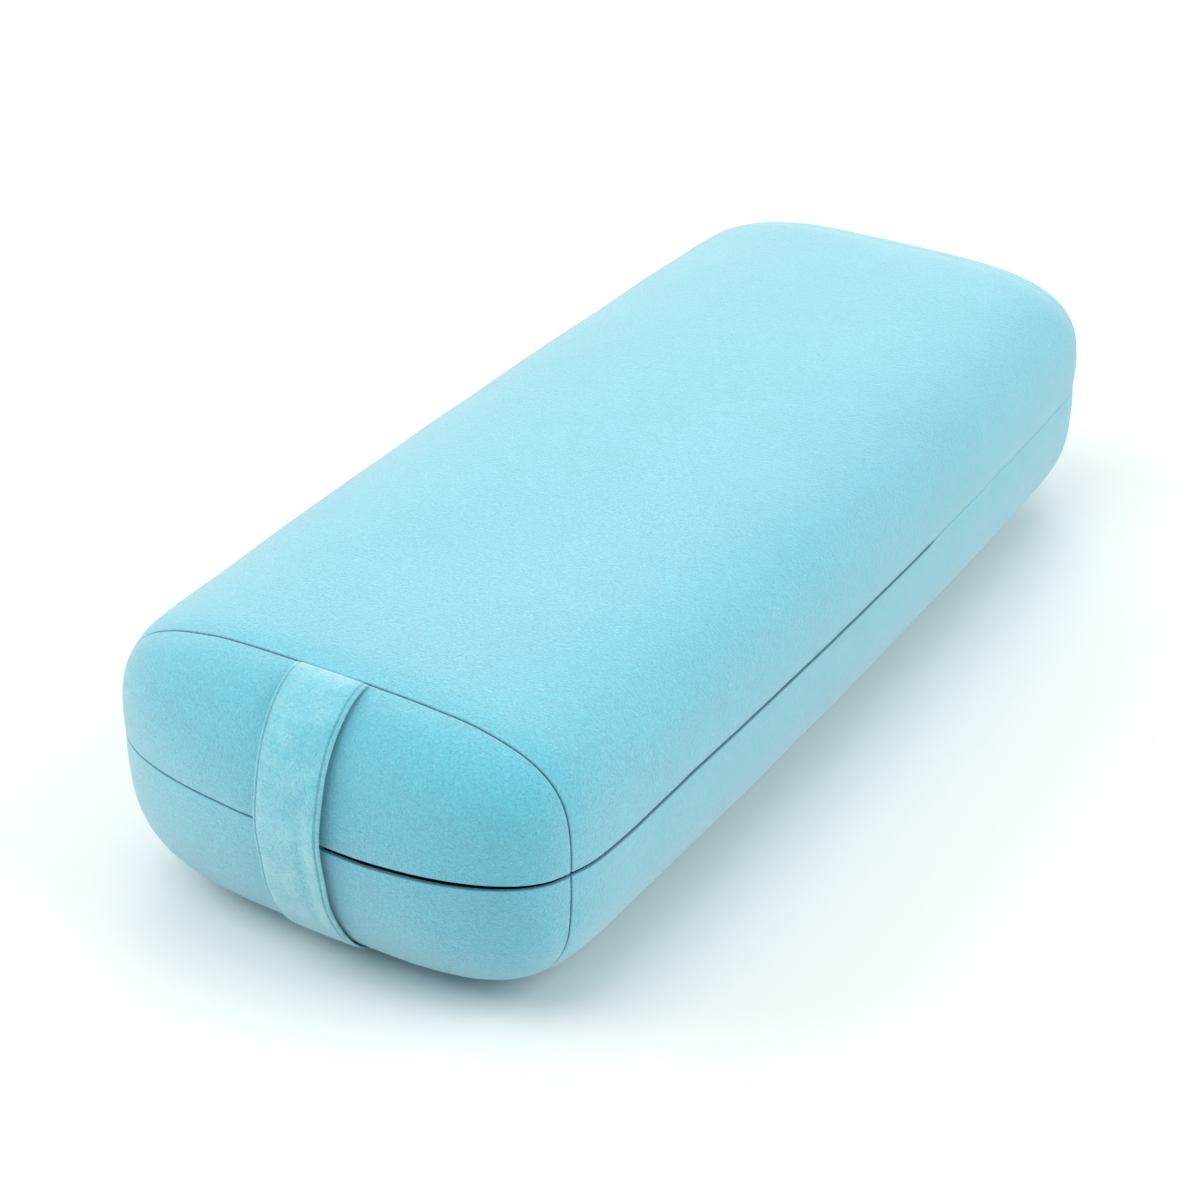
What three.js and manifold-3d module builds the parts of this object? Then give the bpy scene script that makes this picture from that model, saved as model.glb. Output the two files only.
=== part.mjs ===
// A rectangular bolster cushion: a zipped cloth cover over a lined, wadded foam core, with a
// carrying strap sewn across its front end.
// Millimetres. X is the width, Y the length with the strap at the -Y end, and +Z is up.
// The cushion lies on z = 0.

import * as THREE from 'three';
import { mergeVertices } from 'three/addons/utils/BufferGeometryUtils.js';
import Module from 'manifold-3d';

const wasm = await Module();
wasm.setup();

// Driving dimensions of the cushion.
const HALF_LENGTH = 325;
const HALF_WIDTH = 135;
const BARREL = 8; // how much narrower each side is at the tips than at the middle
const SEAM_HEIGHT = 82; // the mid-height seam above the floor
const TOP_RISE = 66; // the crown above that seam
const SEAM_DROP = 84; // the underside below it, before the floor flattens it
const SQUARENESS = 3.6; // exponent of the rounded-rectangle section
const END_ROUNDING = 107; // length over which each end rounds off
const END_POWER = 5.8; // how late that rounding starts
const PLAN_POWER = 2.27; // roundness of the ends seen from above
const SIDE_POWER = 1.74; // roundness of the ends seen from the side
const END_SEAM_Y = 284; // where the end panels are sewn on
const GAP = 0.3; // clearance between neighbouring pieces

// Layers, each given by its depth below the cushion's outer surface.
const COVER_THICKNESS = 1.2;
const LINER_DEPTH = 1.7;
const LINER_THICKNESS = 0.8;
const WADDING_DEPTH = 3;
const CORE_DEPTH = 15.5;

// The zip runs from behind the strap, round the +X front corner and along the +X side.
const ZIP_START_X = 8;
const ZIP_END_Y = 65;
const ZIP_STRAIGHT_Y = -180; // the run is straight from here to its end
const LIP_HEIGHT = 3.6;
const TAPE_DEPTH = 5.8;
const TAPE_THICKNESS = 0.5;
const TAPE_HEIGHT = 11;
const COIL_DEPTH = 6.6;
const COIL_THICKNESS = 2;
const COIL_HEIGHT = 2.4;
const COIL_SPACING = 0.8; // from the seam's plane to each coil
const COIL_END_Y = 53;
const CHANNEL_DEPTH = 10.2;
const CHANNEL_HEIGHT = 12;
const CHANNEL_START_X = 3;
const CHANNEL_END_Y = 100;

// The slider, its two ears and the pull tab between them.
const SLIDER_Y = 45;
const SLIDER_LENGTH = 12;
const SLIDER_HEIGHT = 9.6;
const PLATE_THICKNESS = 0.8;
const OUTER_PLATE_DEPTH = 4.7;
const INNER_PLATE_DEPTH = 8.9;
const FLANGE_DEPTH = 6.7;
const EAR_LENGTH = 2.6;
const EAR_THICKNESS = 0.8;
const EAR_DEPTH = 1.9;
const PIVOT_DEPTH = 3.1;
const PIVOT_Y = SLIDER_Y + 3;
const PIN_RADIUS = 0.45;
const TAB_LENGTH = 16;
const TAB_WIDTH = 2.6;
const TAB_THICKNESS = 0.8;
const TAB_HOLE_RADIUS = 0.75;

// The carrying strap.
const STRAP_WIDTH = 38;
const STRAP_THICKNESS = 3.6;
const STRAP_END_THICKNESS = 2;
const STRAP_CLEARANCE = 0.4; // at the sewn ends
const STRAP_STANDOFF = 2.4; // more than that at the middle
const STRAP_SKIN = 0.8;
const STRAP_HEM = 3; // the sewn edge on each side of the webbing
const STRAP_LOWEST = 3; // height of the surface where the strap's lower end stops
const WEBBING_INSET = 3; // route points that the webbing stops short of each end

// Mesh fineness.
const RING_POINTS = 28;
const END_RINGS = 8;
const BODY_RINGS = 2;
const ZIP_CORNER_STEPS = 14;
const STRAP_STEPS = 11;
const FAR = 1000;

const COLOURS = {
  cover: { color: 0x9fdbe8, roughness: 0.95, metalness: 0 },
  strap: { color: 0x92d4e2, roughness: 0.95, metalness: 0 },
  webbing: { color: 0xe8ecec, roughness: 0.9, metalness: 0 },
  zip: { color: 0x1f6f80, roughness: 0.8, metalness: 0 },
  coil: { color: 0x1a6070, roughness: 0.45, metalness: 0 },
  metal: { color: 0x8fb8c0, roughness: 0.35, metalness: 0.6 },
  label: { color: 0xf5f5f2, roughness: 0.7, metalness: 0 },
  liner: { color: 0xf1efe8, roughness: 0.9, metalness: 0 },
  wadding: { color: 0xfafafa, roughness: 1, metalness: 0 },
  foam: { color: 0xf2e6b8, roughness: 1, metalness: 0 },
};

const bolster = new THREE.Group();
// The strap adds to the length at one end only, so the cushion sits off centre by half of that.
const strapReach = STRAP_CLEARANCE + STRAP_STANDOFF + STRAP_THICKNESS;
bolster.position.y = strapReach / 2;

function addPiece(name, geometry, look) {
  const material = new THREE.MeshStandardMaterial(COLOURS[look]);
  const mesh = new THREE.Mesh(geometry, material);
  mesh.name = name;
  bolster.add(mesh);
}

// ---- Solids ----

function toSolid(geometry) {
  const bare = geometry.clone();
  bare.deleteAttribute('normal');
  bare.deleteAttribute('uv');
  const merged = mergeVertices(bare, 1e-4);
  return new wasm.Manifold(new wasm.Mesh({
    numProp: 3,
    vertProperties: new Float32Array(merged.attributes.position.array),
    triVerts: new Uint32Array(merged.index.array),
  }));
}

function toGeometry(solid) {
  const mesh = solid.getMesh();
  const geometry = new THREE.BufferGeometry();
  geometry.setAttribute('position', new THREE.BufferAttribute(mesh.vertProperties, 3));
  geometry.setIndex(new THREE.BufferAttribute(mesh.triVerts, 1));
  geometry.computeVertexNormals();
  return geometry;
}

function addSolid(name, solid, look) {
  addPiece(name, toGeometry(solid), look);
}

// A box between two limits on each axis; an axis that isn't given runs past the whole cushion.
function block({ x = [-FAR, FAR], y = [-FAR, FAR], z = [-FAR, FAR] }) {
  const box = new THREE.BoxGeometry(x[1] - x[0], y[1] - y[0], z[1] - z[0]);
  box.translate((x[0] + x[1]) / 2, (y[0] + y[1]) / 2, (z[0] + z[1]) / 2);
  return toSolid(box);
}

// ---- The cushion's surface ----

// How full the section is at station y: 1 along the body, falling to 0 at the tip of each end.
function fullnessAt(y, depth) {
  const past = Math.max(0, Math.abs(y) - (HALF_LENGTH - END_ROUNDING));
  return Math.max(0, 1 - (past / (END_ROUNDING - depth)) ** END_POWER);
}

function halfWidthAt(y, depth) {
  const barrel = BARREL * (y / HALF_LENGTH) ** 2;
  return (HALF_WIDTH - depth - barrel) * fullnessAt(y, depth) ** (1 / PLAN_POWER);
}

function sectionPoint(y, angle, depth) {
  const across = Math.cos(angle);
  const upward = Math.sin(angle);
  const reach = (upward >= 0 ? TOP_RISE : SEAM_DROP) - depth;
  const height = reach * fullnessAt(y, depth) ** (1 / SIDE_POWER);
  const x = halfWidthAt(y, depth) * Math.sign(across) * Math.abs(across) ** (2 / SQUARENESS);
  const z = SEAM_HEIGHT + height * Math.sign(upward) * Math.abs(upward) ** (2 / SQUARENESS);
  return [x, y, Math.max(z, depth)];
}

// Stations from the first ring at the front end to the last at the rear, without the tips.
function stations(depth) {
  const straight = HALF_LENGTH - END_ROUNDING;
  const rear = [];
  for (let i = 1; i < END_RINGS; i += 1) {
    rear.push(straight + (END_ROUNDING - depth) * Math.sin((i / END_RINGS) * (Math.PI / 2)));
  }
  const body = [];
  for (let i = 0; i <= BODY_RINGS; i += 1) {
    body.push(straight * ((2 * i) / BODY_RINGS - 1));
  }
  return [...rear.map((y) => -y).reverse(), ...body, ...rear];
}

// The closed cushion shape at one depth below the outer surface.
function cushion(depth) {
  const rings = stations(depth);
  const points = [];
  for (const y of rings) {
    for (let j = 0; j < RING_POINTS; j += 1) {
      points.push(...sectionPoint(y, (j / RING_POINTS) * 2 * Math.PI, depth));
    }
  }
  const faces = [];
  const at = (ring, j) => ring * RING_POINTS + (j % RING_POINTS);
  for (let ring = 0; ring < rings.length - 1; ring += 1) {
    for (let j = 0; j < RING_POINTS; j += 1) {
      faces.push(at(ring, j), at(ring + 1, j), at(ring + 1, j + 1));
      faces.push(at(ring, j), at(ring + 1, j + 1), at(ring, j + 1));
    }
  }
  const frontTip = points.length / 3;
  points.push(0, depth - HALF_LENGTH, SEAM_HEIGHT);
  const rearTip = points.length / 3;
  points.push(0, HALF_LENGTH - depth, SEAM_HEIGHT);
  const last = rings.length - 1;
  for (let j = 0; j < RING_POINTS; j += 1) {
    faces.push(frontTip, at(0, j), at(0, j + 1));
    faces.push(rearTip, at(last, j + 1), at(last, j));
  }
  const geometry = new THREE.BufferGeometry();
  geometry.setAttribute('position', new THREE.Float32BufferAttribute(points, 3));
  geometry.setIndex(faces);
  return toSolid(geometry);
}

function layer(depth, thickness) {
  return cushion(depth).subtract(cushion(depth + thickness));
}

const upperHalf = block({ z: [SEAM_HEIGHT + GAP / 2, FAR] });
const lowerHalf = block({ z: [-FAR, SEAM_HEIGHT - GAP / 2] });

// ---- Cover panels ----

function buildCover() {
  const seamY = END_SEAM_Y - GAP / 2;
  const sections = {
    cover_top_panel: { y: [-seamY, seamY], half: upperHalf },
    cover_bottom_panel: { y: [-seamY, seamY], half: lowerHalf },
    front_end_panel_upper: { y: [-FAR, -seamY - GAP], half: upperHalf },
    front_end_panel_lower: { y: [-FAR, -seamY - GAP], half: lowerHalf },
    rear_end_panel_upper: { y: [seamY + GAP, FAR], half: upperHalf },
    rear_end_panel_lower: { y: [seamY + GAP, FAR], half: lowerHalf },
  };
  const shell = layer(0, COVER_THICKNESS);
  const slot = block({
    x: [ZIP_START_X, FAR],
    y: [-FAR, ZIP_END_Y],
    z: [SEAM_HEIGHT - LIP_HEIGHT, SEAM_HEIGHT + LIP_HEIGHT],
  });
  const slotted = shell.subtract(slot);
  for (const [name, { y, half }] of Object.entries(sections)) {
    addSolid(name, slotted.intersect(block({ y })).intersect(half), 'cover');
  }
  // The folded cloth lips that close over the zip.
  const lips = shell.intersect(block({
    x: [ZIP_START_X + GAP, FAR],
    y: [-FAR, ZIP_END_Y - GAP],
    z: [SEAM_HEIGHT - LIP_HEIGHT + GAP, SEAM_HEIGHT + LIP_HEIGHT - GAP],
  }));
  addSolid('zip_lip_upper', lips.intersect(upperHalf), 'cover');
  addSolid('zip_lip_lower', lips.intersect(lowerHalf), 'cover');
}

// ---- Zip ----

const zipSideX = halfWidthAt(ZIP_STRAIGHT_Y, 0);

// The zip's line in plan at one depth, from startX behind the strap to endY on the side.
function zipLine(depth, startX, endY) {
  const line = [];
  const tipWidth = halfWidthAt(ZIP_STRAIGHT_Y, depth);
  const startFullness = (startX / tipWidth) ** PLAN_POWER;
  const startTurn = Math.asin((1 - startFullness) ** (1 / END_POWER));
  for (let i = ZIP_CORNER_STEPS; i >= 1; i -= 1) {
    const past = (END_ROUNDING - depth) * Math.sin((i / ZIP_CORNER_STEPS) * startTurn);
    const y = -(HALF_LENGTH - END_ROUNDING) - past;
    line.push(new THREE.Vector2(halfWidthAt(y, depth), y));
  }
  line.push(new THREE.Vector2(zipSideX - depth, ZIP_STRAIGHT_Y));
  line.push(new THREE.Vector2(zipSideX - depth, endY));
  return line;
}

// A strip that follows the zip between two depths, its two ends and two heights off the seam.
function zipStrip({ depth, thickness, startX, endY, from, to }) {
  const outline = [
    ...zipLine(depth, startX, endY),
    ...zipLine(depth + thickness, startX, endY).reverse(),
  ];
  const strip = new THREE.ExtrudeGeometry(new THREE.Shape(outline), {
    depth: to - from,
    bevelEnabled: false,
  });
  strip.translate(0, 0, SEAM_HEIGHT + from);
  return strip;
}

// The heights of an upper strip, or of its mirror image below the seam.
function sided(side, low, high) {
  return side > 0 ? { from: low, to: high } : { from: -high, to: -low };
}

function buildZip() {
  for (const [label, side] of [['upper', 1], ['lower', -1]]) {
    const tape = {
      depth: TAPE_DEPTH,
      thickness: TAPE_THICKNESS,
      startX: ZIP_START_X,
      endY: ZIP_END_Y,
      ...sided(side, COIL_SPACING, TAPE_HEIGHT),
    };
    addPiece(`zip_tape_${label}`, zipStrip(tape), 'zip');
    const coil = {
      depth: COIL_DEPTH,
      thickness: COIL_THICKNESS,
      startX: ZIP_START_X,
      endY: COIL_END_Y,
      ...sided(side, COIL_SPACING, COIL_SPACING + COIL_HEIGHT),
    };
    addPiece(`zip_coil_${label}`, zipStrip(coil), 'coil');
    addTopStop(label, side);
  }
  addBottomStop();
}

// A crimped clip at the end of each coil, which stops the slider when the zip is closed.
function addTopStop(label, side) {
  const length = 2.5;
  const thickness = COIL_THICKNESS;
  const stop = new THREE.BoxGeometry(thickness, length, COIL_HEIGHT);
  const x = zipSideX - COIL_DEPTH - thickness / 2;
  const z = SEAM_HEIGHT + side * (COIL_SPACING + COIL_HEIGHT / 2);
  stop.translate(x, COIL_END_Y + GAP + length / 2, z);
  addPiece(`zip_top_stop_${label}`, stop, 'metal');
}

// The clip that joins both coils at the zip's start, behind the strap.
function addBottomStop() {
  const width = 2.5;
  const height = 2 * (COIL_SPACING + COIL_HEIGHT);
  const stop = new THREE.BoxGeometry(width, COIL_THICKNESS, height);
  const [start] = zipLine(COIL_DEPTH + COIL_THICKNESS / 2, ZIP_START_X, ZIP_END_Y);
  stop.translate(start.x - GAP - width / 2, start.y, SEAM_HEIGHT);
  addPiece('zip_bottom_stop', stop, 'metal');
}

// A block placed by its depths below the cushion's side, its centre and length along Y, and
// its heights off the seam.
function sliderBlock(depths, centreY, length, heights) {
  return block({
    x: [zipSideX - depths[1], zipSideX - depths[0]],
    y: [centreY - length / 2, centreY + length / 2],
    z: heights.map((height) => SEAM_HEIGHT + height),
  });
}

// An upright disc or pin on the pull tab's pivot line.
function pivotDisc(radius, height) {
  const disc = new THREE.CylinderGeometry(radius, radius, height, 16);
  disc.rotateX(Math.PI / 2);
  disc.translate(zipSideX - PIVOT_DEPTH, PIVOT_Y, SEAM_HEIGHT);
  return toSolid(disc);
}

// Two plates joined by a post between the coils, flanges outside them, and the ears with their pin.
function addSlider() {
  const half = SLIDER_HEIGHT / 2;
  const outer = [OUTER_PLATE_DEPTH, OUTER_PLATE_DEPTH + PLATE_THICKNESS];
  const inner = [INNER_PLATE_DEPTH, INNER_PLATE_DEPTH + PLATE_THICKNESS];
  const postHalf = COIL_SPACING - GAP;
  const earFrom = TAB_THICKNESS / 2 + GAP;
  const earTo = earFrom + EAR_THICKNESS;
  let slider = sliderBlock(outer, SLIDER_Y, SLIDER_LENGTH, [-half, half])
    .add(sliderBlock(inner, SLIDER_Y, SLIDER_LENGTH, [-half, half]))
    .add(sliderBlock([outer[0], inner[1]], SLIDER_Y, SLIDER_LENGTH / 3, [-postHalf, postHalf]))
    .add(pivotDisc(PIN_RADIUS, 2 * earTo));
  for (const side of [-1, 1]) {
    const flange = sided(side, half - PLATE_THICKNESS, half);
    const ear = sided(side, earFrom, earTo);
    slider = slider
      .add(sliderBlock([FLANGE_DEPTH, inner[1]], SLIDER_Y, SLIDER_LENGTH, [flange.from, flange.to]))
      .add(sliderBlock([EAR_DEPTH, outer[1]], PIVOT_Y, EAR_LENGTH, [ear.from, ear.to]));
  }
  addSolid('zip_slider', slider, 'metal');
}

// A thin tab in the seam's own plane, so that it swings out between the lips.
function addPullTab() {
  const faces = [PIVOT_DEPTH - TAB_WIDTH / 2, PIVOT_DEPTH + TAB_WIDTH / 2];
  const thickness = [-TAB_THICKNESS / 2, TAB_THICKNESS / 2];
  const tab = sliderBlock(faces, PIVOT_Y - TAB_LENGTH / 2, TAB_LENGTH, thickness)
    .add(pivotDisc(TAB_WIDTH / 2, TAB_THICKNESS))
    .subtract(pivotDisc(TAB_HOLE_RADIUS, 2 * TAB_THICKNESS));
  addSolid('zip_pull_tab', tab, 'metal');
}

// A blank care label, sewn into the side seam just past the zip.
function addCareLabel() {
  const length = 24;
  const height = 18;
  const thickness = 0.5;
  const label = new THREE.BoxGeometry(thickness, length, height);
  label.translate(zipSideX - TAPE_DEPTH, ZIP_END_Y + 6 + length / 2, SEAM_HEIGHT);
  addPiece('care_label', label, 'label');
}

// ---- Carrying strap ----

// Points down the middle of the front end, from the top end seam to the strap's lower end.
function strapRoute() {
  const seamT = (END_SEAM_Y - (HALF_LENGTH - END_ROUNDING)) / END_ROUNDING;
  const startTurn = Math.asin(seamT);
  const top = [];
  const bottom = [];
  for (let i = 0; i <= STRAP_STEPS; i += 1) {
    const turn = startTurn + (i / STRAP_STEPS) * (Math.PI / 2 - startTurn);
    const y = -(HALF_LENGTH - END_ROUNDING) - END_ROUNDING * Math.sin(turn);
    const [, , above] = sectionPoint(y, Math.PI / 2, 0);
    const [, , below] = sectionPoint(y, -Math.PI / 2, 0);
    top.push(new THREE.Vector2(y, above));
    if (i < STRAP_STEPS && below > STRAP_LOWEST) bottom.push(new THREE.Vector2(y, below));
  }
  return [...top, ...bottom.reverse()];
}

// The route pushed outwards: reach(share) is the distance at a share of the way along it.
function offsetRoute(route, reach) {
  return route.map((point, i) => {
    const before = route[Math.max(0, i - 1)];
    const after = route[Math.min(route.length - 1, i + 1)];
    const along = after.clone().sub(before).normalize();
    const outward = new THREE.Vector2(along.y, -along.x);
    return point.clone().addScaledVector(outward, reach(i / (route.length - 1)));
  });
}

// A band across the front end between two offset routes, centred on x = 0.
function strapBand(route, width, inner, outer) {
  const outline = [...offsetRoute(route, inner), ...offsetRoute(route, outer).reverse()];
  const band = new THREE.ExtrudeGeometry(new THREE.Shape(outline), {
    depth: width,
    bevelEnabled: false,
  });
  // The outline is drawn in (y, z) and extruded along x.
  const turn = new THREE.Matrix4().set(
    0, 0, 1, -width / 2,
    1, 0, 0, 0,
    0, 1, 0, 0,
    0, 0, 0, 1,
  );
  band.applyMatrix4(turn);
  return toSolid(band);
}

// The route carried on past both of its ends, so that a cut along it leaves them open.
function extended(route) {
  const [first, second] = route;
  const [last, beforeLast] = [...route].reverse();
  return [
    first.clone().multiplyScalar(2).sub(second),
    ...route,
    last.clone().multiplyScalar(2).sub(beforeLast),
  ];
}

// A flat cloth sleeve, thinner at its sewn ends, with a strip of webbing inside.
function buildStrap() {
  const route = strapRoute();
  const bow = (share) => Math.sin(Math.PI * THREE.MathUtils.clamp(share, 0, 1));
  const fullness = (share) => Math.min(1, 3 * bow(share));
  const inside = (share) => STRAP_CLEARANCE + STRAP_STANDOFF * bow(share) ** 2;
  const outside = (share) =>
    inside(share) + THREE.MathUtils.lerp(STRAP_END_THICKNESS, STRAP_THICKNESS, fullness(share));
  // The same share of the way, counted along a route with extra or fewer points at each end.
  const recount = (points, extra) => (share) =>
    (share * (points.length - 1) - extra) / (route.length - 1);
  const longRoute = extended(route);
  const longShare = recount(longRoute, 1);
  const channel = strapBand(
    longRoute,
    STRAP_WIDTH - 2 * STRAP_HEM,
    (share) => inside(longShare(share)) + STRAP_SKIN,
    (share) => outside(longShare(share)) - STRAP_SKIN,
  );
  const sleeve = strapBand(route, STRAP_WIDTH, inside, outside).subtract(channel);
  addSolid('handle_strap', sleeve, 'strap');
  const shortRoute = route.slice(WEBBING_INSET, -WEBBING_INSET);
  const shortShare = recount(shortRoute, -WEBBING_INSET);
  const webbing = strapBand(
    shortRoute,
    STRAP_WIDTH - 2 * STRAP_HEM - 2 * GAP,
    (share) => inside(shortShare(share)) + STRAP_SKIN + GAP,
    (share) => outside(shortShare(share)) - STRAP_SKIN - GAP,
  );
  addSolid('handle_webbing', webbing, 'webbing');
}

// ---- Liner, wadding and core ----

// The groove along the zip that the filling is pressed back to, grown by a margin.
function zipChannel(margin) {
  const groove = zipStrip({
    depth: -HALF_WIDTH / 4,
    thickness: HALF_WIDTH / 4 + CHANNEL_DEPTH + margin,
    startX: CHANNEL_START_X - margin,
    endY: CHANNEL_END_Y + margin,
    from: -CHANNEL_HEIGHT - margin,
    to: CHANNEL_HEIGHT + margin,
  });
  return toSolid(groove);
}

// Two cloth halves that meet at mid height and dip behind the zip.
function buildLiner() {
  const outer = cushion(LINER_DEPTH).subtract(zipChannel(0));
  const inner = cushion(LINER_DEPTH + LINER_THICKNESS).subtract(zipChannel(LINER_THICKNESS));
  const liner = outer.subtract(inner);
  addSolid('liner_upper', liner.intersect(upperHalf), 'liner');
  addSolid('liner_lower', liner.intersect(lowerHalf), 'liner');
}

// A layer of wadding over and under a block of foam.
function buildFilling() {
  const channelMargin = WADDING_DEPTH - LINER_DEPTH;
  const wrapped = cushion(WADDING_DEPTH).subtract(zipChannel(channelMargin));
  const wadding = wrapped.subtract(cushion(CORE_DEPTH - GAP));
  addSolid('wadding_upper', wadding.intersect(upperHalf), 'wadding');
  addSolid('wadding_lower', wadding.intersect(lowerHalf), 'wadding');
  addSolid('foam_core', cushion(CORE_DEPTH), 'foam');
}

buildCover();
buildZip();
addSlider();
addPullTab();
addCareLabel();
buildStrap();
buildLiner();
buildFilling();

export default bolster;
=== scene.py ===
import math

import bmesh
import bpy
import numpy as np
from mathutils import Matrix, Vector


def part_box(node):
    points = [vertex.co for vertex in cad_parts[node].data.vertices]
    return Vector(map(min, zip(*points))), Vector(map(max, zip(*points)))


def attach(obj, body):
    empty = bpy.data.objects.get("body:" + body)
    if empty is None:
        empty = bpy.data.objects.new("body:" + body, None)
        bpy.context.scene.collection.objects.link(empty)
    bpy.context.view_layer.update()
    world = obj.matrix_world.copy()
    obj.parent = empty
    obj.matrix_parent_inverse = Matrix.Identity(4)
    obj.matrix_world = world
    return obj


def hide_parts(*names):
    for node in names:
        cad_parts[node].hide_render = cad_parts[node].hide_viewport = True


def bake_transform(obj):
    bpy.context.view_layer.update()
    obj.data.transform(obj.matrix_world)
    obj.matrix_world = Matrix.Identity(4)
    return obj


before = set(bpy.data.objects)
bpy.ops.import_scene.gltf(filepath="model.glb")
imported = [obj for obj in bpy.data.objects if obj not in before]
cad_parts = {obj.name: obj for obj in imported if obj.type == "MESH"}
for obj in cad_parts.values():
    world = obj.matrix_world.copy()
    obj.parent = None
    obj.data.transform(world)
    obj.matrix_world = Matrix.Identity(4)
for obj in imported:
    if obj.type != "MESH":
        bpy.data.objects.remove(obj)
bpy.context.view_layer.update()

# A rectangular bolster cushion: a zipped suede cover over a lined, wadded foam core, with a
# carrying strap sewn across its front end. Metres: X is the width, Y the length, +Z is up.

MM = 0.001

# ---- Sizes taken from the frame ----

top_low, top_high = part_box("cover_top_panel")
bottom_low, bottom_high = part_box("cover_bottom_panel")
front_low, front_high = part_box("front_end_panel_lower")
rear_low, rear_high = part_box("rear_end_panel_lower")
CENTRE_Y = (front_low.y + rear_high.y) / 2
HALF_LENGTH = (rear_high.y - front_low.y) / 2
HALF_WIDTH = (top_high.x - top_low.x) / 2
SEAM_Z = (top_low.z + bottom_high.z) / 2
TOP_RISE = top_high.z - SEAM_Z
END_SEAM = (rear_low.y - front_high.y) / 2

strap_low, strap_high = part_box("handle_strap")
STRAP_HALF_WIDTH = (strap_high.x - strap_low.x) / 2
ZIP_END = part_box("zip_lip_upper")[1].y - CENTRE_Y

# ---- The cushion's form ----

FLATTENING = 2 * MM  # pressed flat by the floor
SEAM_DROP = SEAM_Z + FLATTENING
SQUARENESS = 3.6  # of the section; 2 is an ellipse
END_ROUNDING = 107 * MM  # over which each end closes
END_POWER = 5.8  # the ends' outlines: exponents along the length,
PLAN_POWER = 2.27  # across the width
SIDE_POWER = 1.74  # and up the height
BARREL = 8 * MM  # lost at the tips
END_BREADTH = 95 * MM  # about, from tip to seam
STRAIGHT = HALF_LENGTH - END_ROUNDING


def fullness(y, depth=0.0):
    """How full the section is at station y: 1 along the body, falling to 0 at each tip."""
    past = np.clip(np.abs(y) - STRAIGHT, 0, None) / (END_ROUNDING - depth)
    return np.clip(1 - past**END_POWER, 1e-9, 1)


def half_width(y, depth=0.0):
    barrel = BARREL * (y / HALF_LENGTH) ** 2
    return (HALF_WIDTH - depth - barrel) * fullness(y, depth) ** (1 / PLAN_POWER)


def height_scale(y):
    return fullness(y) ** (1 / SIDE_POWER)


def surface(y, angle):
    """Points of the cushion at station y and section angle, with no floor under it."""
    across, upward = np.cos(angle), np.sin(angle)
    rise = np.where(upward >= 0, TOP_RISE, SEAM_DROP)
    power = 2 / SQUARENESS
    x = half_width(y) * np.sign(across) * np.abs(across) ** power
    z = SEAM_Z + rise * height_scale(y) * np.sign(upward) * np.abs(upward) ** power
    return np.stack(np.broadcast_arrays(x, y, z), -1)


def normals(points):
    """Outward directions at points of the surface, from the gradient of its equation."""
    x, y, z = np.moveaxis(points, -1, 0)
    z = z - SEAM_Z
    rise = np.where(z >= 0, TOP_RISE, SEAM_DROP)
    step = 0.05 * MM
    width, height = half_width(y), rise * height_scale(y)
    width_slope = (half_width(y + step) - half_width(y - step)) / (2 * step)
    height_slope = rise * (height_scale(y + step) - height_scale(y - step)) / (2 * step)
    share_x = (np.abs(x) / width) ** (SQUARENESS - 1) / width
    share_z = (np.abs(z) / height) ** (SQUARENESS - 1) / height
    lengthwise = -share_x * np.abs(x) * width_slope / width
    lengthwise -= share_z * np.abs(z) * height_slope / height
    gradient = np.stack([share_x * np.sign(x), lengthwise, share_z * np.sign(z)], -1)
    length = np.linalg.norm(gradient, axis=-1, keepdims=True)
    return gradient / np.maximum(length, 1e-12)


def arc_lengths(x, y):
    """Lengths along a plane line, from its first point."""
    return np.concatenate([[0], np.cumsum(np.hypot(np.diff(x), np.diff(y)))])


def quarter_table(rise):
    """Section angles, the arc lengths up to them, and the arc length at the rounded corner."""
    angles = np.linspace(0, math.pi / 2, 2001)
    x = HALF_WIDTH * np.cos(angles) ** (2 / SQUARENESS)
    z = rise * np.sin(angles) ** (2 / SQUARENESS)
    arc = arc_lengths(x, z)
    return angles, arc, np.interp(math.pi / 4, angles, arc)


UPPER_TABLE = quarter_table(TOP_RISE)
LOWER_TABLE = quarter_table(SEAM_DROP)

# A place round the section is a turn: 0 at the +X side, 2 at the top, 4 at the -X side and 6 at
# the bottom, with the rounded corners at the odd numbers.


def quarter_angle(turn, table):
    angles, arc, corner = table
    past_corner = corner + (turn - 1) * (arc[-1] - corner)
    return np.interp(np.where(turn <= 1, turn * corner, past_corner), arc, angles)


def ring_angle(turn):
    """The section angle at a turn."""
    turn = np.mod(turn, 8)
    in_half = np.mod(turn, 4)
    in_quarter = np.where(in_half <= 2, in_half, 4 - in_half)
    upper = quarter_angle(in_quarter, UPPER_TABLE)
    lower = quarter_angle(in_quarter, LOWER_TABLE)
    angle = np.where(turn < 4, upper, lower)
    angle = np.where(in_half <= 2, angle, math.pi - angle)
    return np.where(turn < 4, angle, angle + math.pi)


def square_turn(a, b):
    """The turn of a point (a, b) of the square, -1 to 1, that each end is mapped from."""
    on_side = np.abs(a) >= np.abs(b)
    along_side = b / np.maximum(np.abs(a), 1e-9)
    along_top = a / np.maximum(np.abs(b), 1e-9)
    side_turn = np.where(a > 0, along_side, 4 - along_side)
    top_turn = np.where(b > 0, 2 - along_top, 6 + along_top)
    return np.where(on_side, side_turn, top_turn)


def end_table():
    """Stations from the end seam to the tip, the share of the arc left, and the whole arc."""
    stations = STRAIGHT + END_ROUNDING * np.sin(np.linspace(0, math.pi / 2, 4001))
    stations = stations[stations >= END_SEAM]
    stations[0] = END_SEAM
    arc = arc_lengths(stations, END_BREADTH * fullness(stations) ** 0.5)
    return stations, 1 - arc / arc[-1], arc[-1]


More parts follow.
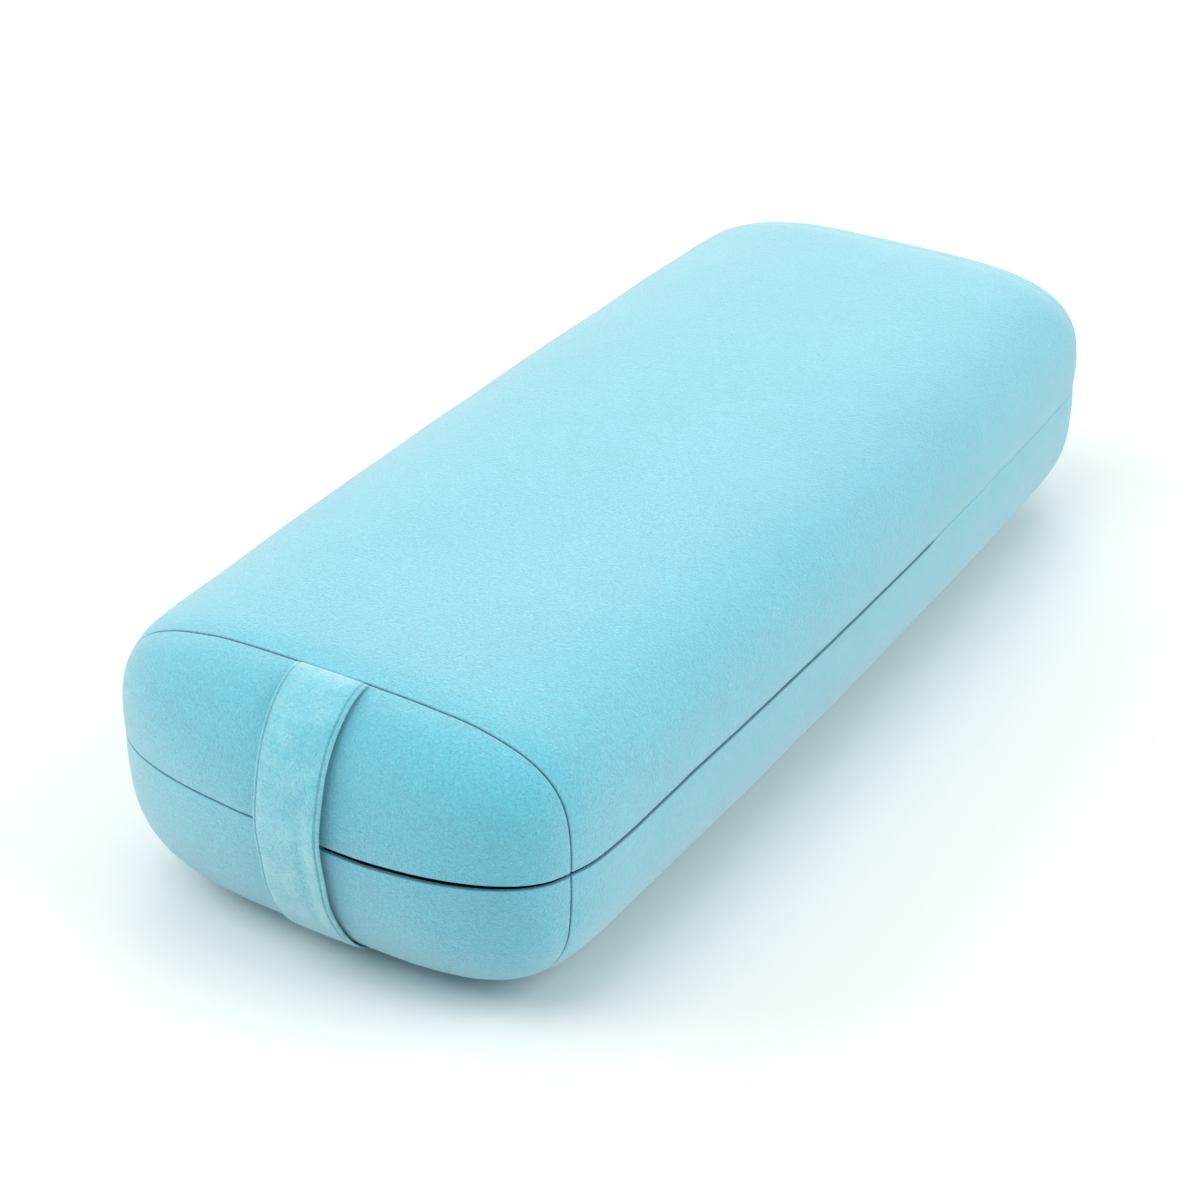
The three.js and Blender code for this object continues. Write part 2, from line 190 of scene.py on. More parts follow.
END_STATIONS, END_SHARES, END_ARC = end_table()


def end_station(share):
    """The distance from the middle at share 1 (the end seam) to 0 (the tip)."""
    return np.interp(1 - share, 1 - END_SHARES, END_STATIONS)


def end_surface(a, b):
    """Points of the rear end at places of its square."""
    share = np.maximum(np.abs(a), np.abs(b))
    return surface(end_station(share), ring_angle(square_turn(a, b)))


def waves(position, lengths, seed):
    """A smooth, repeatable wobble between about -1 and 1 along a position."""
    phases = np.random.default_rng(seed).uniform(0, 2 * math.pi, len(lengths))
    total = sum(np.sin(2 * math.pi * position / l + p) for l, p in zip(lengths, phases))
    return total / len(lengths)


def smooth_step(value):
    value = np.clip(value, 0, 1)
    return value * value * (3 - 2 * value)


def bell(distance, width):
    return np.exp(-((distance / width) ** 2))


# ---- Filling out the cover with a cloth simulation ----

OCTANT = 12  # cloth faces along an eighth of the ring
RING = 8 * OCTANT
BODY_ROWS = 69
SEAM_REACH = 22 * MM
SEWN_WIDTH = 0.5 * MM  # of the cloth that a seam holds fast
START_DEPTH = 0.8 * MM
LUMP_HEIGHT = 0.4 * MM
PRESSURE = 7.0
CORE_SUPPORT = 0.22  # how firmly the foam core holds the cloth to the form
CLOTH_FRAMES = 20
SWELL_CAP = 5 * MM


def seam_distance(points):
    """Distances of surface points to the mid-height seam and to the nearer end seam."""
    return np.abs(points[..., 2] - SEAM_Z), np.abs(np.abs(points[..., 1]) - END_SEAM)


def cloth_grids():
    """Surface points of the cover's body and of one end, on the grids that the cloth uses."""
    y = np.linspace(-END_SEAM, END_SEAM, BODY_ROWS)[:, None]
    turn = np.arange(RING)[None, :] / OCTANT
    body = surface(y, ring_angle(turn))
    steps = np.arange(-OCTANT, OCTANT + 1) / OCTANT
    return body, end_surface(*np.meshgrid(steps, steps, indexing="ij"))


def cap_indices(body_index, row, count):
    """Indices of an end's grid, whose rim is a row of the body, and which of them are new."""
    steps = np.arange(-OCTANT, OCTANT + 1)
    a, b = np.meshgrid(steps, steps, indexing="ij")
    rim = np.maximum(np.abs(a), np.abs(b)) == OCTANT
    column = np.rint(square_turn(a.astype(float), b.astype(float)) * OCTANT).astype(int) % RING
    index = body_index[row, column]
    index[~rim] = count + np.arange(np.count_nonzero(~rim))
    return index, ~rim


def quads(index):
    corners = [index[:-1, :-1], index[1:, :-1], index[1:, 1:], index[:-1, 1:]]
    return np.stack([c.ravel() for c in corners], 1)


def ring_quads(index):
    """Quads over a grid whose last column meets its first."""
    return quads(np.concatenate([index, index[:, :1]], 1))


def cloth_mesh():
    """The closed cloth: its points, its faces, and the indices of its body and two ends."""
    body, end = cloth_grids()
    body_index = np.arange(BODY_ROWS * RING).reshape(BODY_ROWS, RING)
    points = [body.reshape(-1, 3)]
    faces = [ring_quads(body_index)]
    caps = []
    count = body_index.size
    for row, direction in ((0, -1), (BODY_ROWS - 1, 1)):
        index, new = cap_indices(body_index, row, count)
        points.append(end[new] * (1, direction, 1))
        count += len(points[-1])
        faces.append(quads(index)[:, ::-direction])
        caps.append(index)
    return np.concatenate(points), np.concatenate(faces), body_index, caps


def filling_lumps(points):
    """How far the loose filling pushes the cloth out or lets it sink."""
    x, y, z = np.moveaxis(points, -1, 0)
    first = waves(x + 0.5 * y + 0.8 * z, (61 * MM, 97 * MM, 143 * MM), 31)
    second = waves(y - 0.4 * x + 0.5 * z, (73 * MM, 112 * MM, 171 * MM), 32)
    return LUMP_HEIGHT * (first + second) / 2


def simulate_cloth(points, faces, pinned):
    """The points after the closed cloth has filled out under pressure, held along its seams."""
    piece = new_piece("cloth", points, faces)
    held = piece.vertex_groups.new(name="held")
    held.add(list(range(len(points))), CORE_SUPPORT, "REPLACE")
    held.add([int(i) for i in pinned], 1.0, "REPLACE")
    cloth = piece.modifiers.new("cloth", "CLOTH")
    settings = cloth.settings
    settings.quality = 6
    settings.mass = 0.25
    settings.tension_stiffness = 25
    settings.compression_stiffness = 25
    settings.shear_stiffness = 8
    settings.bending_stiffness = 4
    settings.use_pressure = True
    settings.uniform_pressure_force = PRESSURE
    settings.vertex_group_mass = "held"
    settings.effector_weights.gravity = 0
    cloth.point_cache.frame_end = CLOTH_FRAMES
    scene = bpy.context.scene
    for number in range(1, CLOTH_FRAMES + 1):
        scene.frame_set(number)
    evaluated = piece.evaluated_get(bpy.context.evaluated_depsgraph_get())
    moved = np.array([v.co for v in evaluated.data.vertices], float)
    bpy.data.objects.remove(piece)
    scene.frame_set(1)
    return moved


def filled_cloth():
    """The cloth's plain points, how far the filling moves each, its faces and its indices."""
    points, faces, body_index, caps = cloth_mesh()
    to_seam = np.minimum(*seam_distance(points))
    ease = smooth_step(to_seam / SEAM_REACH)
    lift = (filling_lumps(points) - START_DEPTH) * ease
    start = points + normals(points) * lift[:, None]
    pinned = np.flatnonzero(to_seam < SEWN_WIDTH)
    moved = simulate_cloth(start, faces, pinned)
    shift = moved - points
    length = np.linalg.norm(shift, axis=1, keepdims=True)
    shift *= np.minimum(1, SWELL_CAP / np.maximum(length, 1e-9))
    return points, shift, faces, body_index, caps


def spline_weights(t):
    return (
        ((2 - t) * t - 1) * t / 2,
        ((3 * t - 5) * t * t + 2) / 2,
        ((4 - 3 * t) * t + 1) * t / 2,
        (t - 1) * t * t / 2,
    )


def sample(grid, i, j, wrap=False):
    """A smooth (Catmull-Rom) reading of a grid of vectors at fractional rows and columns."""
    i, j = np.broadcast_arrays(np.asarray(i, float), np.asarray(j, float))
    rows, columns = grid.shape[:2]
    first_i, first_j = np.floor(i).astype(int), np.floor(j).astype(int)
    total = 0
    for di, weight_i in enumerate(spline_weights(i - first_i)):
        row = np.clip(first_i + di - 1, 0, rows - 1)
        for dj, weight_j in enumerate(spline_weights(j - first_j)):
            column = first_j + dj - 1
            column = column % columns if wrap else np.clip(column, 0, columns - 1)
            total = total + (weight_i * weight_j)[..., None] * grid[row, column]
    return total


def body_points(y, turn):
    """Filled-out points of the cover's body, their plain points and their normals."""
    plain = surface(y, ring_angle(turn))
    row = (y / END_SEAM + 1) / 2 * (BODY_ROWS - 1)
    shift = sample(CLOTH_SHIFT[BODY_INDEX], row, np.mod(turn, 8) * OCTANT, wrap=True)
    return plain + shift, plain, normals(plain)


def end_points(a, b, end):
    """The same for an end, mapped from its square; end is -1 at the front, 1 at the rear."""
    plain = end_surface(a, b) * (1, end, 1)
    index = CAP_INDICES[0 if end < 0 else 1]
    shift = sample(CLOTH_SHIFT[index], (a + 1) * OCTANT, (b + 1) * OCTANT)
    return plain + shift, plain, normals(plain)


# ---- Meshes ----

HALVES = (("upper", 1), ("lower", -1))


def add_object(name, data):
    made = bpy.data.objects.new(name, data)
    bpy.context.scene.collection.objects.link(made)
    return made


def new_piece(name, points, faces, smooth=True):
    mesh = bpy.data.meshes.new(name)
    mesh.from_pydata([tuple(p) for p in points], [], [tuple(int(v) for v in f) for f in faces])
    mesh.polygons.foreach_set("use_smooth", [smooth] * len(mesh.polygons))
    return add_object(name, mesh)


def grid_index(rows, columns):
    return np.arange(rows * columns).reshape(rows, columns)


def face_outwards(piece):
    editable = bmesh.new()
    editable.from_mesh(piece.data)
    bmesh.ops.recalc_face_normals(editable, faces=editable.faces)
    editable.to_mesh(piece.data)
    editable.free()


def tube(name, points, capped=True):
    """A mesh over rows of points, each row one loop round the tube."""
    index = grid_index(*points.shape[:2])
    faces = list(ring_quads(index))
    if capped:
        faces += [index[0], index[-1]]
    piece = new_piece(name, points.reshape(-1, 3), faces)
    face_outwards(piece)
    return piece


def thicken(piece, thickness):
    solidify = piece.modifiers.new("thickness", "SOLIDIFY")
    solidify.thickness = thickness
    solidify.offset = -1


def soften(piece):
    subdivision = piece.modifiers.new("soften", "SUBSURF")
    subdivision.levels = 1
    subdivision.render_levels = 1


def finish_piece(piece, material, slot, *nodes, body="cushion"):
    """Gives a piece its material and body, in place of CAD nodes; its slot is not used."""
    piece.data.materials.append(material)
    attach(piece, body)
    if nodes:
        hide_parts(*nodes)


# ---- Cover ----

EDGE_STEPS = np.array([0, 0.12, 0.3, 0.55, 0.9, 1.4, 2.1, 3.2, 4.8, 7, 10, 14, 19]) * MM
INNER_STEP = 5.5 * MM
TURN_IN = np.array([0.8, 2.2, 4.5]) * MM  # depths of the edge that is turned in at a seam
CLOTH_THICKNESS = 0.8 * MM
SEAM_GAP = 0.28 * MM  # half of the dark line left between two panels
PARTING_REACH = 2 * MM
FAINT_SEAM = 0.18  # how much of that shows along the flat side seams and at the rear
FRONT_FADE = 20 * MM  # where the side seams turn faint
ON_SEAM = 0.3 * MM
END_ROLL = 0.9 * MM
PLAIN_ROLL = 0.9 * MM
LIP_ROLL = 0.7 * MM
MID_PULL = 0.8  # how hard each seam draws the cloth in
END_PULL = 1.0
PULL_VARIATION = 0.25
SEAM_VALLEY = 1.1 * MM
VALLEY_WIDTH = 9 * MM
LIP_OPENING = 1.2 * MM  # half of the zip's gap where it is widest
LIP_REACH = 9 * MM
LIP_STIFFNESS = 0.7  # how much of the valley goes
ZIP_TURN_IN_CUT = 0.88  # of the turned edge's depth, lost there
SAG_REACH = 26 * MM
# Painted shade: the cloth's colour is darkened beside each seam and inside the zip's lips, over
# these widths.
SHADE_WIDTH = 0.24 * MM  # of the shadowed cloth along a seam
ZIP_SHADE_EXTRA = 0.3  # wider where the zip opens
CORNER_X = half_width(-END_SEAM)
# The zip by the distance along the front and then along the side: how open it is, and how far
# it sags below the mid-height seam.
ZIP_KNOTS = np.array([
    (STRAP_HALF_WIDTH - 3 * MM, 0.6, 2.0 * MM),
    (STRAP_HALF_WIDTH + 20 * MM, 1.0, 3.4 * MM),
    (STRAP_HALF_WIDTH + 55 * MM, 1.0, 3.0 * MM),
    (CORNER_X - 20 * MM, 0.75, 2.0 * MM),
    (CORNER_X, 0.5, 1.8 * MM),
    (CORNER_X + 45 * MM, 0.55, 1.7 * MM),
    (CORNER_X + 95 * MM, 0.55, 0.0),
    (CORNER_X + END_SEAM, 0.52, 0.0),
    (CORNER_X + END_SEAM + ZIP_END - 4 * MM, 0.5, 0.0),
    (CORNER_X + END_SEAM + ZIP_END + 9 * MM, 0.0, 0.0),
])
ZIP_ALONG, ZIP_OPENINGS, ZIP_SAGS = ZIP_KNOTS.T


def graded(length):
    """Distances from 0 to length that crowd towards both ends."""
    inner = length - 2 * EDGE_STEPS[-1]
    count = max(2, round(inner / INNER_STEP))
    middle = EDGE_STEPS[-1] + np.linspace(0, inner, count + 1)[1:-1]
    return np.concatenate([EDGE_STEPS, middle, length - EDGE_STEPS[::-1]])


def zip_distance(points):
    """How far along the front and then the side points on the mid-height seam are."""
    x, y = points[..., 0], points[..., 1]
    return np.where(y < -END_SEAM, x, CORNER_X + y + END_SEAM)


def zip_openness(points):
    """How open the zip is at points on the mid-height seam, 0 off the zip."""
    along = zip_distance(points)
    on_zip = (points[..., 0] > 0) & (along > ZIP_ALONG[0])
    return np.where(on_zip, np.interp(along, ZIP_ALONG, ZIP_OPENINGS, right=0), 0)


def zip_sag(points):
    """How far the zip hangs below mid height, setting in behind the strap."""
    x = points[..., 0]
    sag = np.interp(zip_distance(points), ZIP_ALONG, ZIP_SAGS, right=0)
    return np.where(x > 0, sag * smooth_step(x / STRAP_HALF_WIDTH), 0)


def lip_share(points, rate):
    """0 at a plain seam and 1 at the zip's lips; a higher rate gets there sooner."""
    return np.clip(rate * zip_openness(points), 0, 1)


def seam_strength(points):
    """How plainly the mid-height seam and the end seams show: fully round the front and along
    the zip, and faintly elsewhere."""
    past_front = smooth_step((points[..., 1] + END_SEAM) / FRONT_FADE)
    plain_run = past_front * (1 - lip_share(points, 6))
    rear = np.where(points[..., 1] > 0, 1.0, 0.0)
    return 1 - (1 - FAINT_SEAM) * plain_run, 1 - (1 - FAINT_SEAM) * rear


def roll(distance, radius):
    """How deep a rolled edge lies, at a distance from where it turns in."""
    left = np.clip(radius - distance, 0, None)
    return radius - np.sqrt(np.clip(radius * radius - left * left, 0, None))


def valley(distance, strength=1.0):
    """How deep the cloth is drawn in towards a seam."""
    return SEAM_VALLEY * strength * bell(distance, VALLEY_WIDTH)


def dressed(points, plain, outward, side):
    """Surface points drawn in to their seams, parted at the zip and laid on the floor; side is
    1 above the mid-height seam and -1 below it."""
    to_mid, to_end = seam_distance(plain)
    mid_shown, end_shown = seam_strength(plain)
    lips = lip_share(plain, 3)
    along = plain[..., 0] + plain[..., 1]
    around = plain[..., 0] + side * plain[..., 2]
    mid_strength = MID_PULL + PULL_VARIATION * waves(along, (31 * MM, 47 * MM, 83 * MM), 3)
    end_strength = END_PULL + PULL_VARIATION * waves(around, (27 * MM, 43 * MM, 71 * MM), 5)
    mid_strength = mid_strength * (1 - LIP_STIFFNESS * lips)
    mid_roll = PLAIN_ROLL * mid_shown + (LIP_ROLL - PLAIN_ROLL) * lips
    inset = roll(to_mid, mid_roll) + roll(to_end, END_ROLL * end_shown)
    inset += valley(to_mid, mid_strength) + valley(to_end, end_strength)
    out = points - outward * inset[..., None]
    out[..., 2] += side * LIP_OPENING * zip_openness(plain) * np.exp(-to_mid / LIP_REACH)
    out[..., 2] -= zip_sag(plain) * bell(to_mid, SAG_REACH)
    out[..., 2] = np.maximum(out[..., 2], 0)
    out[..., 1] += CENTRE_Y
    return out


def seam_parting(plain, side, away):
    """The small step back from each seam that leaves a line between the panels; away is the
    direction along Y from the end seam into the panel."""
    to_mid, to_end = seam_distance(plain)
    mid_shown, end_shown = seam_strength(plain)
    parting = np.zeros_like(plain)
    parting[..., 2] = side * SEAM_GAP * mid_shown * np.exp(-to_mid / PARTING_REACH)
    parting[..., 1] = away * SEAM_GAP * end_shown * np.exp(-to_end / PARTING_REACH)
    return parting


def seam_shade(plain):
    """How much painted shade darkens the cloth's colour, 0 to 1, right beside its seams and inside
    the zip's lips.
    """
    to_mid, to_end = seam_distance(plain)
    mid_shown, end_shown = seam_strength(plain)
    mid_width = SHADE_WIDTH * (1 + ZIP_SHADE_EXTRA * zip_openness(plain))
    by_mid = mid_shown * bell(to_mid, mid_width)
    return np.maximum(by_mid, end_shown * bell(to_end, SHADE_WIDTH))


def turn_in_scale(plain):
    """The turned edge is shallow over the zip, where the lips lie in front of the slider."""
    at_mid = seam_distance(plain)[0] < ON_SEAM
    return np.where(at_mid, 1 - ZIP_TURN_IN_CUT * lip_share(plain, 4), 1)


def set_shade(piece, values):
    # Stores the painted shade that the suede material darkens the colour by.
    shade = piece.data.attributes.new("seam_shade", "FLOAT", "POINT")
    shade.data.foreach_set("value", np.asarray(values, np.float32))


def grid_rim(rows, columns):
    """The boundary of a grid as one loop of indices, in the winding of its faces."""
    index = grid_index(rows, columns)
    return np.concatenate([index[:-1, 0], index[-1, :-1], index[:0:-1, -1], index[0, :0:-1]])


def sewn_panel(name, surface_points, side, away):
    """A panel of cloth with a real thickness, whose edges are turned in at its seams."""
    points, plain, outward = surface_points
    parting = seam_parting(plain, side, away).reshape(-1, 3)
    grid = dressed(points, plain, outward, side).reshape(-1, 3)
    inward = -(outward * turn_in_scale(plain)[..., None]).reshape(-1, 3)
    rim = grid_rim(*plain.shape[:2])
    rings = [grid + parting]
    faces = [quads(grid_index(*plain.shape[:2]))]
    previous, count = rim, len(grid)
    for depth in TURN_IN:
        closing = parting[rim] * (1 - depth / TURN_IN[-1])
        rings.append(grid[rim] + closing + inward[rim] * depth)
        ring = count + np.arange(len(rim))
        faces.append(np.stack([previous, ring, np.roll(ring, -1), np.roll(previous, -1)], 1))
        previous, count = ring, count + len(rim)
    piece = new_piece(name, np.concatenate(rings), np.concatenate(faces))
    face_outwards(piece)
    # Painted shade beside the seams; the turned-in edges take the value at the rim.
    shade = seam_shade(plain).ravel()
    set_shade(piece, np.concatenate([shade] + [shade[rim]] * len(TURN_IN)))
    thicken(piece, CLOTH_THICKNESS)
    return piece


def turn_at(arc, table):
    """The turn, 0 to 4, at an arc length up from the +X side over to the -X side."""
    _, arcs, corner = table
    folded = np.minimum(arc, 2 * arcs[-1] - arc)
    past_corner = 1 + (folded - corner) / (arcs[-1] - corner)
    turn = np.where(folded <= corner, folded / corner, past_corner)
    return np.where(arc <= arcs[-1], turn, 4 - turn)


def body_panel(name, side):
    """The top or the bottom of the cover, from one mid-height seam over to the other."""
    table = UPPER_TABLE if side > 0 else LOWER_TABLE
    y = graded(2 * END_SEAM)[:, None] - END_SEAM
    turn = turn_at(graded(2 * table[1][-1]), table)[None, :]
    turn = turn if side > 0 else np.mod(8 - turn, 8)
    return sewn_panel(name, body_points(y, turn), side, -np.sign(y))


def end_panel(name, end, side):
    """Half of an end of the cover, above or below the mid-height seam."""
    a = (graded(2 * END_ARC) / END_ARC - 1)[:, None]
    b = (graded(END_ARC) / END_ARC)[None, :]
    a, b = np.broadcast_arrays(a, b * side)
    return sewn_panel(name, end_points(a, b, end), side, end)


def build_cover(material):
    panels = {
        "cover_top_panel": body_panel("cover_top", 1),
        "cover_bottom_panel": body_panel("cover_bottom", -1),
        "front_end_panel_upper": end_panel("front_end_upper", -1, 1),
        "front_end_panel_lower": end_panel("front_end_lower", -1, -1),
        "rear_end_panel_upper": end_panel("rear_end_upper", 1, 1),
        "rear_end_panel_lower": end_panel("rear_end_lower", 1, -1),
    }
    for node, piece in panels.items():
        finish_piece(piece, material, "cover", node)


# ---- Carrying strap ----

STRAP_STATIONS = 131
STRAP_MIDDLE_THICKNESS = 2.7 * MM
STRAP_EDGE_THICKNESS = 1.5 * MM
STRAP_STANDOFF = 3.2 * MM
BOW_SKEW = 0.85  # below 1, furthest off above its middle
BOW_FULLNESS = 0.8  # below 1, fuller than a sine
LOW_END_PRESS = 0.8  # of the standoff, lost towards the lower end
STRAP_SHIFT = 2.8 * MM  # how far its middle is pushed over towards the zip
STRAP_SWAY = 0.4 * MM
STRAP_END_WIDTH = 1.04  # share of the plain width at the seams,
STRAP_WAIST = 0.09  # and what it loses in the middle
STRAP_CLEARANCE = 0.5 * MM
SEWN_FLATTENING = 0.3
LOW_FLATTENING = 0.45
CRUMPLE_HEIGHT = 0.35 * MM
CREASE_DEPTH = 1.0 * MM
CREASE_WIDTH = 4 * MM
CREASE_OFFSET = 0.5 * STRAP_HALF_WIDTH
STRAP_SINK = 3.0 * MM  # how deep each end dives into its seam
SLEEVE_WALL = 0.5 * MM
WEBBING_HALF_WIDTH = 15.8 * MM
WEBBING_HEIGHTS = 0.6 * MM, 1.5 * MM
WEBBING_CHAMFER = 0.3 * MM
WEBBING_POINTS = 15
STITCH_MARGIN = 4 * MM
STITCH_SIDES = 6
STITCH_INSET = 1.9 * MM
STITCH_LENGTH = 2.5 * MM
STITCH_PITCH = 3.3 * MM
STITCH_RADIUS = 0.26 * MM
GROOVE_DEPTH = 0.5 * MM
# Painted shade in the stitched grooves along the strap's edges.
STITCH_SHADE = 0.55


def read_rows(table, stations, places):
    """Rows of a table, read at places between its stations."""
    return np.stack([np.interp(places, stations, column) for column in table.T], -1)


def strap_route():
    """The line down the middle of the front end, its outward directions and its length."""
    b = np.linspace(1, -1, STRAP_STATIONS)
    points, _, outward = end_points(np.zeros_like(b), b, -1)
    points[:, 1] += CENTRE_Y
    points[:, 0] = 0
    outward[:, 0] = 0
    arc = np.concatenate([[0], np.cumsum(np.linalg.norm(np.diff(points, axis=0), axis=1))])
    even = np.linspace(0, arc[-1], STRAP_STATIONS)
    out = read_rows(outward, arc, even)
    out /= np.linalg.norm(out, axis=1, keepdims=True)
    return read_rows(points, arc, even), out, arc[-1]


def strap_lift(share):
    """The distance from the end's surface to the strap's back at a share of the way down."""
    to_end = STRAP_LENGTH * np.minimum(share, 1 - share)
    standoff = STRAP_STANDOFF * np.sin(math.pi * share**BOW_SKEW) ** BOW_FULLNESS
    standoff *= 1 - LOW_END_PRESS * smooth_step((share - 0.6) / 0.3)
    clearance = STRAP_CLEARANCE * smooth_step(to_end / (8 * MM))
    return standoff + clearance - valley(to_end) - roll(to_end, STRAP_SINK)


def strap_face(across):
    """The height of the strap's face off its back."""
    crown = 1 - (np.abs(across) / STRAP_HALF_WIDTH) ** 6
    return STRAP_EDGE_THICKNESS + (STRAP_MIDDLE_THICKNESS - STRAP_EDGE_THICKNESS) * crown


def strap_relief(share, across):
    """The strap's crumples and its long crease, as shares of its thickness."""
    along = share * STRAP_LENGTH
    crumple = waves(along + 0.6 * across, (13 * MM, 22 * MM, 37 * MM), 11)
    crumple = crumple * waves(across - 0.3 * along, (17 * MM, 29 * MM), 12)
    below_top = np.sin(math.pi * share) * smooth_step((share - 0.2) / 0.3)
    crease = below_top * bell(across - CREASE_OFFSET, CREASE_WIDTH)
    return (CRUMPLE_HEIGHT * crumple - CREASE_DEPTH * crease) / STRAP_MIDDLE_THICKNESS


def strap_point(share, across, height):
    """Points at shares of the way down the strap, across it and up from its back."""
    share, across, height = np.broadcast_arrays(share, across, height)
    stations = np.linspace(0, 1, STRAP_STATIONS)
    place = read_rows(STRAP_LINE, stations, share)
    out = read_rows(STRAP_OUT, stations, share)
    middle = np.sin(math.pi * share)
    to_end = STRAP_LENGTH * np.minimum(share, 1 - share)
    thickness = height * (1 + strap_relief(share, across))
    thickness *= 1 - SEWN_FLATTENING + SEWN_FLATTENING * smooth_step(to_end / (12 * MM))
    thickness *= 1 - LOW_FLATTENING * smooth_step((share - 0.7) / 0.2)
    place += out * (strap_lift(share) + thickness)[..., None]
    sway = STRAP_SWAY * waves(share * STRAP_LENGTH, (41 * MM, 67 * MM), 13) * middle
    off_floor = 0.3 * MM + 0.3 * (STRAP_MIDDLE_THICKNESS - height)
    z = np.maximum(place[..., 2], off_floor)
    x = across * (STRAP_END_WIDTH - STRAP_WAIST * middle) + sway + STRAP_SHIFT * middle
    return np.stack([x, place[..., 1], z], -1)


def sleeve_section():
    """The sleeve's section as (across, height) points: a soft crown and thin stitched edges."""
    stitch = STRAP_HALF_WIDTH - STITCH_INSET
    inner = STRAP_HALF_WIDTH - STRAP_EDGE_THICKNESS / 2
    near_stitch = stitch + np.array([-1.0, -0.6, -0.3, 0, 0.3, 0.6]) * MM
    face = np.concatenate([np.linspace(0, stitch - 1.6 * MM, 16), near_stitch])
    groove = GROOVE_DEPTH * bell(face - stitch, 0.4 * MM)
    turn = np.linspace(0, math.pi, 11)
    edge_across = inner + STRAP_EDGE_THICKNESS / 2 * np.sin(turn)
    edge_height = strap_face(inner) / 2 * (1 + np.cos(turn))
    back = np.linspace(inner, 0, 12)[1:]
    right = np.concatenate([
        np.stack([face, strap_face(face) - groove], 1),
        np.stack([edge_across, edge_height], 1),
        np.stack([back, np.zeros_like(back)], 1),
    ])
    return np.concatenate([right, right[-2:0:-1] * (-1, 1)])


def webbing_section():
    """The flat webbing's section, chamfered at its edges."""
    low, high = WEBBING_HEIGHTS
    w, c, n = WEBBING_HALF_WIDTH, WEBBING_CHAMFER, WEBBING_POINTS
    face = np.linspace(-w + c, w - c, n)
    across = np.concatenate([[-w], face, [w, w], face[::-1], [-w]])
    levels = [low + c, low, low + c, high - c, high, high - c]
    return np.stack([across, np.repeat(levels, [1, n, 1, 1, n, 1])], 1)


def strap_tube(name, section, capped):
    shares = np.linspace(0, 1, STRAP_STATIONS)
    return tube(name, strap_point(shares[:, None], section[:, 0], section[:, 1]), capped)


def stitch_rows():
    """Every stitch of both rows as one mesh of small capsules lying in the grooves."""
    steps = np.array([0, 0.12, 0.3, 0.7, 0.88, 1])
    radii = STITCH_RADIUS * np.array([0.15, 0.75, 1, 1, 0.75, 0.15])
    ring = 2 * math.pi * np.arange(STITCH_SIDES) / STITCH_SIDES
    count = int((STRAP_LENGTH - 2 * STITCH_MARGIN) / STITCH_PITCH)
    points, faces = [], []
    for row in (-1, 1):
        across = row * (STRAP_HALF_WIDTH - STITCH_INSET)
        height = strap_face(across) - GROOVE_DEPTH + 0.6 * STITCH_RADIUS
        for number in range(count):
            along = STITCH_MARGIN + number * STITCH_PITCH + steps * STITCH_LENGTH
            loops = strap_point(
                (along / STRAP_LENGTH)[:, None],
                across + radii[:, None] * np.cos(ring),
                height + radii[:, None] * np.sin(ring),
            )
            index = grid_index(len(steps), STITCH_SIDES) + sum(len(p) for p in points)
            points.append(loops.reshape(-1, 3))
            faces += list(ring_quads(index))
            faces += [index[0], index[-1]]
    return np.concatenate(points), faces


def follow_strap(piece, material, slot, *nodes):
    """Gives the piece its material and bakes in its transform, in place of CAD nodes; its slot is
    not used.
    """
    piece.data.materials.append(material)
    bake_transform(piece)
    if nodes:
        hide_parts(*nodes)


def build_strap(suede_material, webbing_material, thread_material):
    section = sleeve_section()
    sleeve = strap_tube("handle_sleeve", section, capped=False)
    # Painted shade darkens the strap's colour along its two stitch lines.
    off_stitch = np.abs(section[:, 0]) - STRAP_HALF_WIDTH + STITCH_INSET
    shade = STITCH_SHADE * bell(off_stitch, 0.6 * MM)
    set_shade(sleeve, np.tile(shade, STRAP_STATIONS))
    thicken(sleeve, SLEEVE_WALL)
    follow_strap(sleeve, suede_material, "strap", "handle_strap")
    webbing = strap_tube("handle_webbing_core", webbing_section(), capped=True)
    follow_strap(webbing, webbing_material, "webbing", "handle_webbing")
    stitches = new_piece("handle_stitching", *stitch_rows())
    face_outwards(stitches)
    follow_strap(stitches, thread_material, "strap")


# ---- Zip ----

ZIP_STRAIGHT_Y = -180 * MM
ZIP_SIDE_X = half_width(ZIP_STRAIGHT_Y)
ZIP_START_DEPTH = 7 * MM
ZIP_STATION = 3 * MM
TAPE_DEPTH = 6 * MM
TAPE_THICKNESS = 0.5 * MM
TAPE_CHAMFER = 0.12 * MM
COIL_PITCH = 2.0 * MM
COIL_SEGMENTS = 8
COIL_SIDES = 5
COIL_WIRE = 0.32 * MM
COIL_HALF_DEPTH = 1.0 * MM
# Painted shade on the zip's facings, which lie deep in the slit between the lips.
FACING_SHADE = 0.3
# The facing behind a lip, from the fold back to the tape: depths below the side, and heights
# off the seam, out along its face and back along its rear.
FACING_DEPTHS = np.array([3.0, 3.5, 4.2, 4.9, 4.9, 4.4, 4.4, 3.7, 3.0, 2.5]) * MM
FACING_HEIGHTS = np.array([2.2, 4.0, 6.3, 8.5, 11.0, 11.0, 8.7, 6.6, 4.3, 2.2]) * MM


